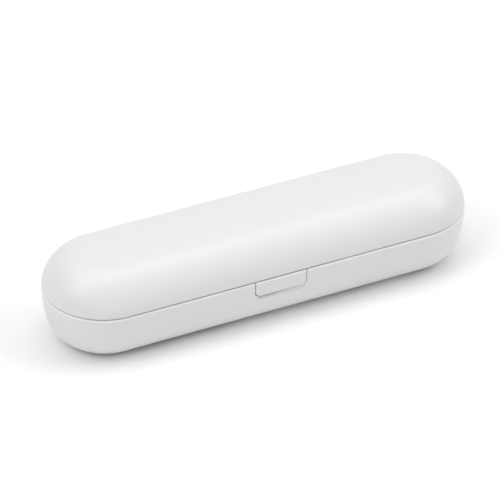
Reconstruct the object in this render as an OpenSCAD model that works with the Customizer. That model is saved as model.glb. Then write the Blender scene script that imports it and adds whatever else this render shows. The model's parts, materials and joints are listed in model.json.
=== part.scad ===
// Travel case for an electric toothbrush: two hard shells hinged along the back,
// a push-button latch in the front wall, and liners for a handle and two heads.
// Millimetres. +X runs along the case, -Y is the front with the button, +Z is up.
// The origin is on the resting plane, under the middle of the case.

/* [Case] */
// Length over the rims
case_l = 216; // [200:1:240]
// Width over the rims, and the diameter of the rounded ends
case_w = 60; // [57:0.5:70]
// Height of the middle of the seam above the table
base_h = 28.5; // [27:0.5:32]
// Height of the lid above the middle of the seam
lid_h = 18; // [17:0.1:24]
// Thickness of both shells
shell_wall = 2.4; // [1.8:0.1:2.8]

/* [Curves] */
// Radius of the lid's shoulder
shoulder_r = 19.5; // [17:0.5:21]
// Radius of the lid's crown, across the case
crown_r = 105; // [80:1:200]
// Radius of the base's bulged side
side_r = 70; // [58:1:150]
// Radius of the base's bottom corner
bottom_r = 16; // [12:0.5:17]

/* [Seam] */
// Open line between the two rims
seam_gap = 0.5; // [0.3:0.05:0.8]
// Rounding of the base's outer rim edge
base_rim_r = 0.6; // [0.3:0.1:1]
// Rounding of the lid's outer rim edge
lid_rim_r = 0.4; // [0.2:0.1:0.8]
// Height of the locating lip above the base rim
lip_h = 1.6; // [1:0.1:2.2]
// Thickness of the locating lip
lip_t = 0.9; // [0.7:0.1:1.2]
// Clearance between the lip and the lid
lip_gap = 0.25; // [0.15:0.05:0.4]

/* [Hinge] */
// Distance of each hinge from the middle of the case
hinge_x = 52; // [35:1:64]
// Length of one hinge, over its three knuckles
hinge_l = 24; // [18:1:30]
// Length of each of the base's knuckles
base_knuckle_l = 6; // [4:0.5:7]
// Outer radius of the knuckles
barrel_r = 2.1; // [1.8:0.1:2.4]
// How far the knuckles stand out of the back wall
barrel_proud = 0; // [0:0.05:0.5]
// Radius of the hinge pins
pin_r = 0.8; // [0.6:0.05:1]
// Radial running clearance of the lid's knuckles on the pins
pin_play = 0.05; // [0.02:0.01:0.1]
// Angle at which the bevelled back rims meet
stop_angle = 113; // [95:1:125]

/* [Latch] */
// Width of the button
button_w = 27; // [24:0.5:32]
// Height of the button below the rim
button_h = 8.55; // [8:0.05:10]
// Radius of the button's lower corners
button_corner = 3.2; // [2:0.1:4]
// Thickness of the button's cap at the rim
button_cap_t = 2.1; // [1.8:0.1:2.4]
// Gap round the button
button_gap = 0.4; // [0.25:0.05:0.6]
// Travel of the button
button_travel = 1.6; // [1.2:0.1:1.8]
// Width of the catch
catch_w = 10; // [8:0.5:12]
// Thickness of the button's flange
flange_t = 1.2; // [1:0.1:1.6]
// Width of the button's two arms
arm_w = 3; // [2.4:0.1:3.4]
// Height of the arms
arm_h = 3.4; // [2.6:0.1:3.6]
// Depth of the bar behind the catch
bar_t = 2.4; // [1.8:0.1:3]
// Height of the bar
bar_h = 2; // [1.6:0.1:2.4]
// Thickness of the bracket's walls and floor
bracket_t = 1.5; // [1.2:0.1:1.8]
// Thickness of the catch's plate
catch_plate_t = 1.6; // [1.2:0.1:2]
// Thickness of the catch's tongue
catch_t = 1.4; // [1:0.1:1.8]
// Reach of the catch's barb
barb_reach = 1.1; // [0.8:0.1:1.2]
// Outer radius of the springs
spring_r = 1.8; // [1.5:0.1:2]
// Diameter of the spring wire
spring_wire = 0.5; // [0.35:0.05:0.6]
// Turns of each spring
spring_turns = 6; // [4:1:7]

/* [Inside] */
// Thickness of the liners
liner_wall = 1.5; // [1.2:0.1:1.8]
// Depth of the tray's top below the base rim
tray_drop = 0.35; // [0.2:0.05:1]
// Height of the handle channel above the shell's floor
tray_lift = 5.4; // [4.5:0.1:6]
// Radius of the handle channel
handle_r = 14.2; // [12.5:0.1:14.5]
// Radius of the channel for the drive shaft
neck_r = 6.2; // [5:0.1:8]
// Length of the channel for the drive shaft
neck_l = 37; // [25:1:50]
// Length of the taper from handle to shaft
taper_l = 16; // [10:1:25]
// Distance of the channel's ends from the case's ends
channel_end = 11; // [10:0.5:20]
// Half width of the wells for brush heads
well_r = 7.8; // [7:0.1:8]
// Depth of the wells below the tray's top
well_depth = 14.9; // [12:0.1:15.2]
// Distance of the inner and outer screws from the ends of a well
well_screw_in = 10; // [8:0.5:14]
well_screw_out = 19; // [16:0.5:24]
// Distance of the soft rests from the channel's round end and from its taper
rest_end = 35; // [20:1:45]
rest_taper = 22; // [12:1:35]
// Depth of the lid's wells above its liner's rim
lid_well_depth = 3.6; // [2.5:0.1:4.5]
// Thickness of the soft rests and pads
pad_t = 1; // [0.6:0.1:1.4]
// Width of the soft rests and pads
pad_w = 12; // [8:1:16]
// Inner radius of the head clips
clip_r = 3.2; // [2.6:0.1:3.6]
// Thickness of the clips' arms
clip_t = 1.3; // [1:0.1:1.5]
// Length of the clips
clip_l = 6; // [4:0.5:9]
// Height of the clips' feet and posts together
clip_lift = 2.2; // [1.8:0.1:3]

/* [Fasteners] */
// Radius of the screw shanks
screw_r = 1; // [0.8:0.1:1.2]
// Length of the screw shanks
screw_l = 7; // [6:0.5:7.5]
// Radius of the screw heads
head_r = 2; // [1.6:0.1:2.2]
// Height of the screw heads
head_h = 1.3; // [1:0.1:1.6]
// Radius of the screw bosses
boss_r = 2.6; // [2.3:0.1:2.8]

/* [Hidden] */
$fn = 96;

shell_white = [0.93, 0.93, 0.925];
liner_grey = [0.82, 0.83, 0.835];
soft_grey = [0.45, 0.47, 0.49];
acetal_white = [0.88, 0.88, 0.86];
steel = [0.7, 0.71, 0.73];

// clearances and overlaps shared by many pieces
fit_gap = 0.3;           // between pieces that only lie beside each other
slide_gap = 0.2;         // between the button and what guides it
joint_over = 0.01;       // how far one arc reaches past the next where two arcs meet
cut = 1;                 // how far a cut runs past the face it opens
far = 400;               // larger than the case

// outline of the case
half_w = case_w / 2;
spine = case_l - case_w;
inner_half = half_w - shell_wall;
rim_z = base_h - seam_gap / 2;
lid_z = base_h + seam_gap / 2;
top_z = base_h + lid_h;

// hinge axis
axis_y = half_w - barrel_r + barrel_proud;
axis_z = base_h;
bevel = stop_angle / 2;
knuckle_gap = 0.3;
lid_knuckle_l = hinge_l - 2 * base_knuckle_l - 2 * knuckle_gap;

// base section: the side arc stands upright at the seam, the corner arc touches it and the floor
side_c = [half_w - side_r, base_h];
corner_c = [side_c.x + sqrt(pow(side_r - bottom_r, 2) - pow(base_h - bottom_r, 2)), bottom_r];
corner_u = (corner_c - side_c) / (side_r - bottom_r);
base_rim_cz = rim_z - base_rim_r;
base_rim_c = [side_c.x + sqrt(pow(side_r - base_rim_r, 2) - pow(base_h - base_rim_cz, 2)),
              base_rim_cz];
function side_x(z, inset) =
    side_c.x + sqrt(pow(side_r - inset, 2) - pow(base_h - z, 2));

// lid section: the shoulder arc passes the seam at the full width and touches the crown arc
crown_c = [0, top_z - crown_r];
crown_k = crown_r - lid_h;
shoulder_a = (crown_r * crown_r - 2 * crown_r * shoulder_r - crown_k * crown_k
              + half_w * half_w) / (2 * half_w);
shoulder_m = crown_k / half_w;
quad_a = 1 + shoulder_m * shoulder_m;
quad_b = 2 * shoulder_m * (half_w - shoulder_a);
quad_c = pow(half_w - shoulder_a, 2) - shoulder_r * shoulder_r;
shoulder_dz = (-quad_b + sqrt(quad_b * quad_b - 4 * quad_a * quad_c)) / (2 * quad_a);
shoulder_c = [shoulder_a - shoulder_m * shoulder_dz, base_h + shoulder_dz];
shoulder_u = (shoulder_c - crown_c) / (crown_r - shoulder_r);

// tray and handle channel
tray_z = rim_z - tray_drop;
deck_z = tray_z - liner_wall;
tray_inset = shell_wall + fit_gap;
handle_y = axis_y - barrel_r - 2 * fit_gap - liner_wall - handle_r;
handle_z = shell_wall + tray_lift + liner_wall + handle_r;
channel_x = case_l / 2 - channel_end;
hinge_clear_y = axis_y - barrel_r - fit_gap;
taper_x = channel_x - neck_l - taper_l;
lip_room = 0.55;         // between the locating lip and the lid's liner
lid_channel_grow = 0.6;  // the lid's channel is this much larger round the handle
lid_deck_z = rim_z + lip_h + lip_room;
lid_deck_top = lid_deck_z + liner_wall;

// button, from the front wall inwards
button_z = rim_z - button_h;
flange_lift = 0.8;       // above the lower edge of the button
flange_z = button_z + flange_lift;
flange_top = deck_z - fit_gap;
cap_back = -half_w + button_cap_t;
neck_inset = 1.6;        // between the sides of the cap and of the block behind it
flange_y = -side_x(flange_z, shell_wall) + slide_gap;
flange_back = flange_y + flange_t;
swing_gap = 0.9;         // lets the catch swing clear of the pressed button
catch_y = flange_back + button_travel + swing_gap;
catch_back = catch_y + catch_t;
bar_y = catch_back + slide_gap;
bar_back = bar_y + bar_t;
rear_y = bar_back + button_travel + fit_gap;
rear_back = rear_y + bracket_t;
window_w = catch_w + 8 * fit_gap;
window_x = window_w / 2;
guide_x = window_x + arm_w + fit_gap;
spring_x = guide_x + bracket_t + fit_gap + spring_r;
spring_edge = 0.8;       // beside the springs
side_x0 = spring_x + spring_r + spring_edge;
side_x1 = side_x0 + bracket_t - spring_edge / 2;
bar_top = flange_top - 2 * slide_gap;
bar_z = bar_top - bar_h;
arm_z = bar_top - arm_h;
rail_z = arm_z - slide_gap;
bracket_floor_top = rail_z - head_h - fit_gap;
bracket_z = bracket_floor_top - bracket_t;
spring_z = (arm_z + bar_top) / 2 - slide_gap;
bracket_front = flange_back + button_travel + fit_gap;
ear_edge = 1;            // round the ears' screw heads
ear_x = side_x1 + head_r + ear_edge / 2;
ear_y = rear_back - head_r - ear_edge;

// catch on the lid
catch_plate_z = lid_deck_top + fit_gap;
catch_screw_x = catch_w / 2 + boss_r + 2 * fit_gap;
catch_screw_y = catch_back + barb_reach + boss_r + 2 * fit_gap;
barb_z = bar_z - slide_gap;
barb_edge = 0.4;         // height of the barb's blunt edge
tip_gap = 0.7;           // below the catch
catch_tip_z = bracket_floor_top + tip_gap;

// wells for two brush heads, and the screws in them
well_lean = 2.3;         // keeps the foot of a well off the leaning wall
well_step = 0.8;         // the lid's wells are this much narrower
well_y = -(inner_half - fit_gap - liner_wall - well_r - well_lean);
well_reach = well_lean * 0.75 - well_y;
well_x = ear_x + head_r + ear_edge + fit_gap + liner_wall;
well_end = spine / 2 + sqrt(pow(well_reach, 2) - pow(well_y, 2)) + well_r;
well_floor = tray_z - well_depth;
lid_well_r = well_r - well_step;
lid_well_top = lid_deck_z + lid_well_depth;
screw_x = [well_x + well_screw_in, well_end - well_screw_out];
clip_x = (screw_x[0] + screw_x[1]) / 2;
pilot_play = 0.02;
hole_play = 0.2;
blind_gap = 0.4;         // below the tip of a screw
rest_x = [-channel_x + rest_end, taper_x - rest_taper];
post_t = 2;              // thickness of the posts under the channel

// ---- sections and sweeps ----

// right half of a disc, between two heights
module disc_slice(c, r, z0, z1) {
    intersection() {
        translate(c) circle(r = r);
        translate([0, z0]) square([far, z1 - z0]);
    }
}

// half section of the base, inset from its outer face, closed at height z_top
module base_half(inset, z_top) {
    r = bottom_r - inset;
    meet = corner_c.y + r * corner_u.y;
    disc_slice(corner_c, r + joint_over, inset, z_top);
    translate([0, inset]) square([corner_c.x, min(z_top, corner_c.y) - inset]);
    if (z_top > meet) disc_slice(side_c, side_r - inset, meet, min(z_top, base_h));
    if (z_top > base_h)
        translate([0, base_h - joint_over])
            square([half_w - inset, z_top - base_h + joint_over]);
}

// half section of the lid, inset from its outer face, open down to height z_low
module lid_half(inset, z_low) {
    r = shoulder_r - inset;
    meet = shoulder_c.y + r * shoulder_u.y;
    disc_slice(shoulder_c, r + joint_over, z_low, top_z);
    disc_slice(crown_c, crown_r - inset, meet, top_z);
    translate([0, z_low]) square([shoulder_c.x, meet - z_low + joint_over]);
}

module both_sides() {
    children();
    mirror([1, 0]) children();
}

// carries a half section round the whole case
module sweep() {
    rotate([90, 0, 90])
        translate([0, 0, -spine / 2])
            linear_extrude(height = spine) both_sides() children();
    for (turn = [0, 180])
        rotate([0, 0, turn]) translate([spine / 2, 0, 0])
            rotate([0, 0, -90]) rotate_extrude(angle = 180) children();
}

// extrudes a YZ outline along X between two places
module along_x(x0, x1) {
    translate([x0, 0, 0]) rotate([90, 0, 90]) linear_extrude(height = x1 - x0) children();
}

// extrudes an XZ outline along Y between two places
module along_y(y0, y1) {
    translate([0, y1, 0]) rotate([90, 0, 0]) linear_extrude(height = y1 - y0) children();
}

module block(x0, x1, y0, y1, z0, z1) {
    translate([x0, y0, z0]) cube([x1 - x0, y1 - y0, z1 - z0]);
}

module rod_x(x0, x1, y, z, r) {
    translate([x0, y, z]) rotate([0, 90, 0]) cylinder(h = x1 - x0, r = r);
}

module rod_z(x, y, z0, z1, r) {
    translate([x, y, z0]) cylinder(h = z1 - z0, r = r);
}

module both_ends() {
    children();
    mirror([1, 0, 0]) children();
}

// pan-head screw with a cross recess, its seat at the origin and its shank down
module screw() {
    recess_w = head_r * 0.28;
    difference() {
        union() {
            translate([0, 0, -screw_l]) cylinder(h = screw_l, r = screw_r);
            cylinder(h = head_h * 0.55, r = head_r);
            translate([0, 0, head_h * 0.55])
                cylinder(h = head_h * 0.45, r1 = head_r, r2 = head_r * 0.66);
        }
        for (turn = [0, 90])
            rotate([0, 0, turn])
                translate([-head_r * 0.6, -recess_w / 2, head_h * 0.4])
                    cube([head_r * 1.2, recess_w, head_h]);
    }
}

// ---- hinge ----

module base_knuckle_spans() {
    for (side = [-1, 1])
        for (end = [-1, 1])
            translate([side * hinge_x + end * (hinge_l - base_knuckle_l) / 2, 0, 0])
                children();
}

module barrel(l, r) {
    rod_x(-l / 2, l / 2, axis_y, axis_z, r);
}

// web that ties a knuckle to its wall, up = 1 in the lid and -1 in the base
module knuckle_web(l, up) {
    along_x(-l / 2, l / 2)
        polygon([[axis_y - 1.2, axis_z + up * 0.3], [axis_y + 0.1, axis_z + up * 0.3],
                 [axis_y + 0.1, axis_z + up * 6], [axis_y - 0.6, axis_z + up * 6],
                 [axis_y - barrel_r + 0.1, axis_z + up * 1.2]]);
}

// bevel along the back rim, which meets the other shell's bevel when the lid is open
module back_bevel(up) {
    along_x(-case_l / 2 - cut, case_l / 2 + cut)
        polygon([[axis_y, axis_z], [axis_y + 5, axis_z],
                 [axis_y + 5, axis_z + up * 5 * tan(bevel)]]);
}

module hinge_pin(side) {
    color(steel)
        translate([side * hinge_x, 0, 0]) barrel(hinge_l - 0.4, pin_r);
}

// ---- base ----

module button_outline(grow) {
    w = button_w + 2 * grow;
    r = button_corner + grow;
    z = button_z - grow;
    for (side = [-1, 1])
        translate([side * (w / 2 - r), z + r]) circle(r = r);
    translate([-w / 2 + r, z]) square([w - 2 * r, rim_z - z + (grow > 0 ? lip_h + cut : 0)]);
    translate([-w / 2, z + r])
        square([w, rim_z - z - r + (grow > 0 ? lip_h + cut : 0)]);
}

// soft-edged half outline of the base's rim, between the side arc and the rim plane
module base_outer_half() {
    meet = base_rim_c.y + base_rim_r * (base_rim_c.y - side_c.y) / (side_r - base_rim_r);
    base_half(0, meet);
    disc_slice(base_rim_c, base_rim_r + joint_over / 2, meet - base_rim_r / 4, rim_z);
    translate([0, meet - joint_over]) square([base_rim_c.x, rim_z - meet + joint_over]);
}

module base_bosses() {
    both_ends() {
        for (x = screw_x) rod_z(x, well_y, 0, well_floor - liner_wall, boss_r);
        rod_z(ear_x, ear_y, 0, bracket_z, boss_r);
    }
    for (x = rest_x)
        block(x - post_t / 2, x + post_t / 2, handle_y - handle_r / 3, handle_y + handle_r / 3,
              0, handle_z - handle_r - liner_wall - slide_gap);
}

module base_shell() {
    lip_end_y = half_w * 0.45;
    color(shell_white)
    difference() {
        union() {
            difference() {
                union() {
                    sweep() difference() {
                        base_outer_half();
                        base_half(shell_wall, base_h + cut);
                    }
                    intersection() {
                        sweep() translate([inner_half, rim_z - shell_wall])
                            square([lip_t, shell_wall + lip_h]);
                        block(-far, far, -far, lip_end_y, 0, far);
                    }
                    intersection() {
                        base_bosses();
                        sweep() base_half(shell_wall / 2, rim_z);
                    }
                }
                back_bevel(-1);
                for (side = [-1, 1])
                    translate([side * hinge_x, 0, 0])
                        barrel(lid_knuckle_l + 2 * knuckle_gap, barrel_r + fit_gap);
                along_y(-half_w - cut, -inner_half + shell_wall)
                    button_outline(button_gap);
            }
            base_knuckle_spans() {
                barrel(base_knuckle_l, barrel_r);
                knuckle_web(base_knuckle_l, -1);
            }
        }
        for (side = [-1, 1])
            translate([side * hinge_x, 0, 0]) barrel(hinge_l + cut, pin_r + 0.01);
        both_ends() {
            for (x = screw_x)
                rod_z(x, well_y, well_floor - screw_l - blind_gap, well_floor,
                      screw_r + pilot_play);
            rod_z(ear_x, ear_y, bracket_floor_top - screw_l - blind_gap, bracket_floor_top,
                  screw_r + pilot_play);
        }
    }
}

// outline of the handle's channel along its axis, as distance along and radius
function channel_outline(grow, with_neck) =
    concat([[-channel_x - grow, 0], [-channel_x - grow, handle_r + grow],
            [taper_x + grow / 2, handle_r + grow],
            [taper_x + taper_l + grow / 2, neck_r + grow]],
           with_neck ? [[channel_x + grow, neck_r + grow], [channel_x + grow, 0]]
                     : [[taper_x + taper_l + grow / 2, 0]]);

// round half of the channel, below its axis
module channel_round(outline) {
    translate([0, handle_y, handle_z]) rotate([0, 90, 0]) rotate([0, 0, -90])
        rotate_extrude(angle = 180) polygon([for (p = outline) [p.y, p.x]]);
}

// the base's channel: round below its axis, straight-sided above it
module channel(grow, up) {
    outline = channel_outline(grow, true);
    channel_round(outline);
    translate([0, handle_y, handle_z]) linear_extrude(height = up)
        for (side = [0, 1]) mirror([0, side]) polygon(outline);
}

module well(grow, r, z0, z1) {
    rr = r + grow;
    y = well_y;
    translate([0, 0, z0]) linear_extrude(height = z1 - z0)
        for (side = [-1, 1]) {
            translate([side * (well_end - r), y]) circle(r = rr);
            translate([side * (well_x + r), y]) circle(r = rr);
            translate([side > 0 ? well_x + r : -well_end + r, y - rr])
                square([well_end - well_x - 2 * r, 2 * rr]);
        }
}

module base_tray() {
    color(liner_grey)
    difference() {
        intersection() {
            union() {
                block(-far / 2, far / 2, -half_w, half_w, deck_z, tray_z);
                channel(liner_wall, tray_z - handle_z);
                well(liner_wall, well_r, well_floor - liner_wall, tray_z);
            }
            sweep() base_half(tray_inset, tray_z);
        }
        intersection() {
            union() {
                channel(0, tray_z - handle_z + cut);
                well(0, well_r, well_floor, tray_z + cut);
            }
            sweep() base_half(tray_inset + liner_wall, tray_z + cut);
        }
        for (side = [-1, 1])
            block(side * hinge_x - hinge_l / 2 - fit_gap, side * hinge_x + hinge_l / 2 + fit_gap,
                  hinge_clear_y, half_w, 0, far);
        block(-window_x, window_x, catch_y - swing_gap, catch_back + barb_reach + swing_gap / 2,
              0, tray_z + cut);
        block(-button_w / 2 - fit_gap, button_w / 2 + fit_gap, -half_w,
              cap_back + button_travel + fit_gap, deck_z - cut, tray_z + cut);
        both_ends() for (x = screw_x)
            rod_z(x, well_y, 0, well_floor + cut, screw_r + hole_play);
    }
}

// soft strip round part of the handle channel, centred on angle a
module soft_strip(x, r, sweep_angle, a) {
    translate([x, handle_y, handle_z]) rotate([0, 90, 0])
        rotate([0, 0, a - sweep_angle / 2]) rotate_extrude(angle = sweep_angle)
            translate([r - pad_t, -pad_w / 2]) square([pad_t, pad_w]);
}

module handle_rest(x) {
    color(soft_grey) soft_strip(x, handle_r, 120, 0);
}

// snap clip for the stem of a brush head, open at the top
module head_clip(side) {
    z = well_floor + clip_lift + clip_t + clip_r;
    foot_h = clip_lift / 2;
    color(acetal_white)
    translate([side * clip_x, 0, 0])
    difference() {
        union() {
            rod_x(-clip_l / 2, clip_l / 2, well_y, z, clip_r + clip_t);
            block(-clip_l / 2, clip_l / 2, well_y - clip_r * 0.75, well_y + clip_r * 0.75,
                  well_floor, z);
            block(-clip_l * 0.75, clip_l * 0.75, well_y - clip_r - clip_t,
                  well_y + clip_r + clip_t, well_floor, well_floor + foot_h);
        }
        rod_x(-clip_l, clip_l, well_y, z, clip_r);
        along_x(-clip_l, clip_l)
            polygon([[well_y, z], [well_y - clip_r * 1.7, z + clip_r * 2],
                     [well_y + clip_r * 1.7, z + clip_r * 2]]);
    }
}

module tray_screws() {
    color(steel) both_ends() for (x = screw_x)
        translate([x, well_y, well_floor]) screw();
}

// ---- latch ----

// stub that centres a spring, standing out of y0 towards y1
module spring_stub(y0, y1) {
    along = y1 > y0 ? -90 : 90;
    translate([spring_x, y0, spring_z]) rotate([along, 0, 0])
        cylinder(h = abs(y1 - y0), r = spring_r - spring_wire - fit_gap);
}

module latch_button() {
    color(shell_white) {
        intersection() {
            along_y(-half_w - cut, cap_back) button_outline(0);
            sweep() base_outer_half();
        }
        block(-button_w / 2 + neck_inset, button_w / 2 - neck_inset, cap_back - joint_over,
              flange_y + joint_over, flange_z, flange_top);
        block(-side_x0, side_x0, flange_y, flange_back, flange_z, flange_top);
        both_ends() {
            block(window_x, window_x + arm_w, flange_back - joint_over, bar_back,
                  arm_z, bar_top);
            spring_stub(flange_back - joint_over, flange_back + spring_r * 0.75);
        }
        block(-window_x - joint_over, window_x + joint_over, bar_y, bar_back, bar_z, bar_top);
    }
}

module latch_bracket() {
    color(acetal_white)
    difference() {
        union() {
            block(-side_x1, side_x1, bracket_front, rear_back, bracket_z, bracket_floor_top);
            block(-side_x1, side_x1, rear_y, rear_back, bracket_z, flange_top);
            block(-ear_x - head_r - ear_edge, ear_x + head_r + ear_edge,
                  ear_y - head_r - ear_edge, rear_back, bracket_z, bracket_floor_top);
            both_ends() {
                for (wall = [[guide_x, guide_x + bracket_t], [side_x0, side_x1]])
                    block(wall[0], wall[1], bracket_front, rear_back, bracket_z, flange_top);
                block(window_x + fit_gap, window_x + arm_w - fit_gap, bracket_front,
                      rear_back, bracket_z, rail_z);
                spring_stub(rear_y + joint_over, rear_y - spring_r * 0.75);
            }
        }
        both_ends()
            rod_z(ear_x, ear_y, bracket_z - cut, bracket_floor_top + cut,
                  screw_r + hole_play);
    }
}

module bracket_screws() {
    color(steel) both_ends() translate([ear_x, ear_y, bracket_floor_top]) screw();
}

// path of the spring wire: a straight foot, a bend, the turns, and the same again
coil_r = spring_r - spring_wire / 2;
coil_y0 = flange_back + 0.1;
coil_y1 = rear_y - 0.1;
foot_l = spring_wire;
bend_r = spring_wire;
coil_start = asin(bend_r / coil_r);
coil_inner = foot_l + bend_r;
coil_len = coil_y1 - coil_y0;
coil_steps = 8 * spring_turns;
foot = concat([[coil_r, 0, 0], [coil_r, foot_l, 0]],
              [for (a = [30, 60]) [coil_r, foot_l + bend_r * sin(a), bend_r * (1 - cos(a))]]);
turns = [for (i = [0:coil_steps])
            let (t = i / coil_steps,
                 a = coil_start + t * (360 * spring_turns - 2 * coil_start))
            [coil_r * cos(a), coil_inner + t * (coil_len - 2 * coil_inner), coil_r * sin(a)]];
far_foot = [for (i = [len(foot) - 1:-1:0]) [foot[i].x, coil_len - foot[i].y, -foot[i].z]];
coil_path = concat(foot, turns, far_foot);
coil_gap = min([for (i = [0:len(coil_path) - 1]) for (j = [0:len(coil_path) - 1])
                   if (j > i + 6) norm(coil_path[i] - coil_path[j]) - spring_wire]);
echo(spring_least_gap_mm = coil_gap);

function unit(v) = v / norm(v);
function tangent(p, i) =
    i == 0 || i == len(p) - 1 ? [0, 1, 0] : unit(p[i + 1] - p[i - 1]);
function across(p, i) =
    let (t = tangent(p, i), out = [p[i].x, 0, p[i].z]) unit(out - (out * t) * t);

// one unbroken tube along a path
module tube(path, r, sides) {
    n = len(path);
    pts = [for (i = [0:n - 1])
              let (u = across(path, i), v = cross(tangent(path, i), u))
              for (k = [0:sides - 1])
                  path[i] + r * (cos(360 * k / sides) * u + sin(360 * k / sides) * v)];
    skin = [for (i = [0:n - 2]) for (k = [0:sides - 1])
               let (a = i * sides + k, b = i * sides + (k + 1) % sides)
               for (f = [[a, b, b + sides], [a, b + sides, a + sides]]) f];
    caps = [for (k = [1:sides - 2])
               for (f = [[0, k + 1, k], [0, k, k + 1] + [for (j = [0:2]) (n - 1) * sides]]) f];
    polyhedron(points = pts, faces = concat(skin, caps));
}

module latch_spring(side) {
    color(steel)
        translate([side * spring_x, coil_y0, spring_z]) tube(coil_path, spring_wire / 2, 6);
}

module latch_catch() {
    rim = head_r * 0.6;
    plate_x = catch_screw_x + head_r + rim;
    color(acetal_white)
    difference() {
        union() {
            block(-plate_x, plate_x, catch_y - rim, catch_screw_y + head_r + rim,
                  catch_plate_z, catch_plate_z + catch_plate_t);
            block(-catch_w / 2, catch_w / 2, catch_y, catch_back,
                  catch_tip_z, catch_plate_z + catch_plate_t / 2);
            along_x(-catch_w / 2, catch_w / 2)
                polygon([[catch_back - catch_t / 2, barb_z], [catch_back + barb_reach, barb_z],
                         [catch_back + barb_reach, barb_z - barb_edge],
                         [catch_back - catch_t / 2, catch_tip_z]]);
        }
        both_ends()
            rod_z(catch_screw_x, catch_screw_y, catch_plate_z - cut,
                  catch_plate_z + catch_plate_t + cut, screw_r + hole_play);
    }
}

module catch_screws() {
    color(steel) both_ends()
        translate([catch_screw_x, catch_screw_y, catch_plate_z]) rotate([180, 0, 0]) screw();
}

// ---- lid ----

module lid_bosses() {
    both_ends() {
        for (x = screw_x) rod_z(x, well_y, lid_well_top + liner_wall, far, boss_r);
        rod_z(catch_screw_x, catch_screw_y, catch_plate_z + catch_plate_t, far, boss_r);
    }
}

// outer half section of the lid with its rim edge rounded
module lid_outer_half() {
    rim_cz = lid_z + lid_rim_r;
    rim_c = [shoulder_c.x + sqrt(pow(shoulder_r - lid_rim_r, 2) - pow(rim_cz - shoulder_c.y, 2)),
             rim_cz];
    meet = rim_cz + lid_rim_r * (rim_cz - shoulder_c.y) / (shoulder_r - lid_rim_r);
    lid_half(0, meet);
    disc_slice(rim_c, lid_rim_r + joint_over / 2, lid_z, meet + lid_rim_r / 4);
    translate([0, lid_z]) square([rim_c.x, meet - lid_z + joint_over]);
}

module lid_shell() {
    color(shell_white)
    difference() {
        union() {
            difference() {
                union() {
                    sweep() difference() {
                        lid_outer_half();
                        lid_half(shell_wall, lid_z - cut);
                        translate([0, lid_z - cut])
                            square([inner_half + lip_t + lip_gap,
                                    rim_z + lip_h + lip_room - lid_z + cut]);
                    }
                    intersection() {
                        lid_bosses();
                        sweep() lid_half(shell_wall / 2, lid_z);
                    }
                }
                back_bevel(1);
                base_knuckle_spans()
                    barrel(base_knuckle_l + 2 * knuckle_gap, barrel_r + fit_gap);
            }
            for (side = [-1, 1]) translate([side * hinge_x, 0, 0]) {
                barrel(lid_knuckle_l, barrel_r);
                knuckle_web(lid_knuckle_l, 1);
            }
        }
        for (side = [-1, 1])
            translate([side * hinge_x, 0, 0]) barrel(hinge_l + cut, pin_r + pin_play);
        both_ends() {
            for (x = screw_x)
                rod_z(x, well_y, lid_well_top, lid_well_top + screw_l + blind_gap,
                      screw_r + pilot_play);
            rod_z(catch_screw_x, catch_screw_y, catch_plate_z,
                  catch_plate_z + screw_l + blind_gap, screw_r + pilot_play);
        }
    }
}

// space in the lid for the top of the handle
module lid_channel(grow) {
    translate([0, 0, 2 * handle_z]) mirror([0, 0, 1])
        channel_round(channel_outline(lid_channel_grow + grow, false));
}

module lid_liner() {
    color(liner_grey)
    difference() {
        intersection() {
            union() {
                block(-far / 2, far / 2, -half_w, half_w, lid_deck_z, lid_deck_top);
                lid_channel(liner_wall);
                well(liner_wall, lid_well_r, lid_deck_z, lid_well_top + liner_wall);
            }
            sweep() lid_half(tray_inset, lid_deck_z);
        }
        intersection() {
            union() {
                lid_channel(0);
                well(0, lid_well_r, lid_deck_z - cut, lid_well_top);
            }
            sweep() lid_half(tray_inset + liner_wall, lid_deck_z - cut);
        }
        for (side = [-1, 1])
            block(side * hinge_x - hinge_l / 2 - fit_gap, side * hinge_x + hinge_l / 2 + fit_gap,
                  hinge_clear_y, half_w, 0, far);
        block(-catch_w / 2 - 2 * fit_gap, catch_w / 2 + 2 * fit_gap, catch_y - 2 * fit_gap,
              catch_back + barb_reach + 2 * fit_gap, 0, lid_deck_top + cut);
        both_ends() {
            for (x = screw_x) rod_z(x, well_y, lid_well_top - cut, far, screw_r + hole_play);
            rod_z(catch_screw_x, catch_screw_y, 0, lid_deck_top + cut, head_r + fit_gap);
        }
    }
}

module lid_pad(x) {
    color(soft_grey) soft_strip(x, handle_r + lid_channel_grow, 60, 180);
}

module liner_screws() {
    color(steel) both_ends() for (x = screw_x)
        translate([x, well_y, lid_well_top]) rotate([180, 0, 0]) screw();
}

base_shell();
base_tray();
handle_rest(rest_x[0]);  // handle_rest_left
handle_rest(rest_x[1]);  // handle_rest_right
head_clip(-1);  // head_clip_left
head_clip(1);  // head_clip_right
tray_screws();
latch_bracket();
bracket_screws();
latch_spring(-1);  // latch_spring_left
latch_spring(1);  // latch_spring_right
latch_button();
hinge_pin(-1);  // hinge_pin_left
hinge_pin(1);  // hinge_pin_right
lid_shell();
lid_liner();
lid_pad(rest_x[0]);  // lid_pad_left
lid_pad(rest_x[1]);  // lid_pad_right
latch_catch();
catch_screws();
liner_screws();
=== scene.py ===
import json
import math

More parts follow.
